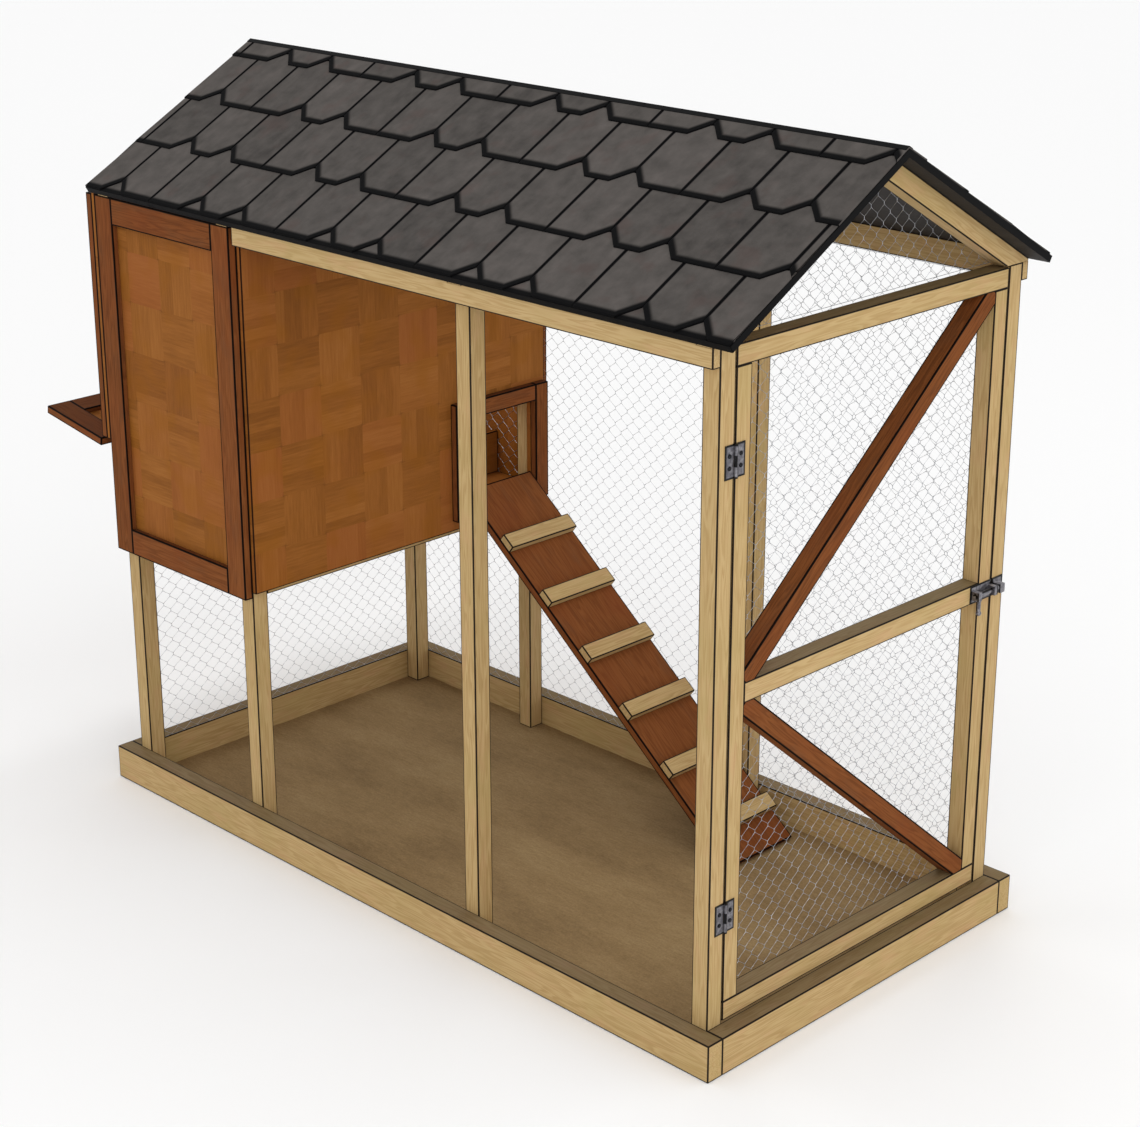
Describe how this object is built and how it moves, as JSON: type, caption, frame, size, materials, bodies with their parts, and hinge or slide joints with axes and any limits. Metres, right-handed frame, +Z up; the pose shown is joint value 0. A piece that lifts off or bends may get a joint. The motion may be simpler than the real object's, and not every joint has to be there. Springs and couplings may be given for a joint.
{
  "type": "chicken coop",
  "caption": "Timber chicken coop with a raised nesting box over one end of a netted run, a ramp, a hinged run door with a barrel bolt, and a gable roof.",
  "frame": {"origin": "on the ground, at the middle of the base frame's footprint", "axes": "+X along the run towards the door end, -Y towards the long open side, +Z up"},
  "size_m": [2.0154, 0.91, 1.6097],
  "materials": {
    "pine": "planed pine, clear oiled",
    "brown_timber": "red-brown stained timber, satin",
    "panel_ply": "parquet-faced plywood, orange-brown stain, satin",
    "roof_ply": "bare plywood",
    "shingle": "mineral-faced bitumen felt shingle, matt grey",
    "black_metal": "black painted steel, satin",
    "litter_mat": "brown litter mat, matt",
    "galvanised_wire": "galvanised hexagonal wire netting",
    "zinc_hardware": "zinc plated steel",
    "screw_steel": "steel screw heads"
  },
  "bodies": {
    "coop_frame": {"base_rail_near": "pine", "base_rail_far": "pine", "base_rail_nest_end": "pine", "base_rail_door_end": "pine", "posts_nest_end": "pine", "posts_box": "pine", "posts_mid": "pine", "posts_door_end": "pine", "top_plate_near": "pine", "top_plate_far": "pine", "rafters_nest_end": "pine", "rafters_box": "pine", "rafters_mid": "pine", "rafters_door_end": "pine", "box_floor_frame": "pine", "nest_packers": "pine", "flap_stops": "pine", "roost_bar": "pine", "ramp_cleats": "pine", "pop_door_trim": "brown_timber", "box_trim_near": "brown_timber", "box_trim_far": "brown_timber", "nest_end_trim": "brown_timber", "ramp_board": "brown_timber", "box_panel_near": "panel_ply", "box_panel_far": "panel_ply", "box_wall": "panel_ply", "nest_end_panel": "panel_ply", "box_floor": "panel_ply", "nest_dividers": "panel_ply", "roof_sheet_near": "roof_ply", "roof_sheet_far": "roof_ply", "shingles_near": "shingle", "shingles_far": "shingle", "drip_edge_near": "black_metal", "drip_edge_far": "black_metal", "ridge_cap": "black_metal", "run_floor": "litter_mat", "netting_far": "galvanised_wire", "netting_nest_end": "galvanised_wire", "netting_gable": "galvanised_wire", "hinge_leaves_frame": "zinc_hardware", "hinge_pins": "zinc_hardware", "latch_keeper": "zinc_hardware", "flap_hinge_wall_leaves": "zinc_hardware", "flap_hinge_pins": "zinc_hardware", "hinge_screws_frame": "screw_steel"},
    "run_door": {"door_stiles": "pine", "door_rails": "pine", "door_braces": "brown_timber", "netting_door": "galvanised_wire", "hinge_leaves_door": "zinc_hardware", "hinge_screws_door": "screw_steel", "latch_plate": "zinc_hardware"},
    "door_bolt": {"latch_bolt": "zinc_hardware"},
    "egg_flap": {"flap_frame": "brown_timber", "flap_panel": "panel_ply", "flap_hinge_leaves": "zinc_hardware"}
  },
  "joints": [
    {"name": "run_door_swing", "type": "hinge", "parent": "coop_frame", "child": "run_door", "pos_m": [0.8615, -0.3775, 0.7], "axis": [0, 0, -1], "range_deg": [0, 120]},
    {"name": "door_bolt_slide", "type": "slide", "parent": "run_door", "child": "door_bolt", "axis": [0, 1, 0], "range_m": [0, 0.025]},
    {"name": "egg_flap_swing", "type": "hinge", "parent": "coop_frame", "child": "egg_flap", "pos_m": [-0.9045, 0, 0.8], "axis": [0, -1, 0], "range_deg": [-70, 98.5]}
  ]
}
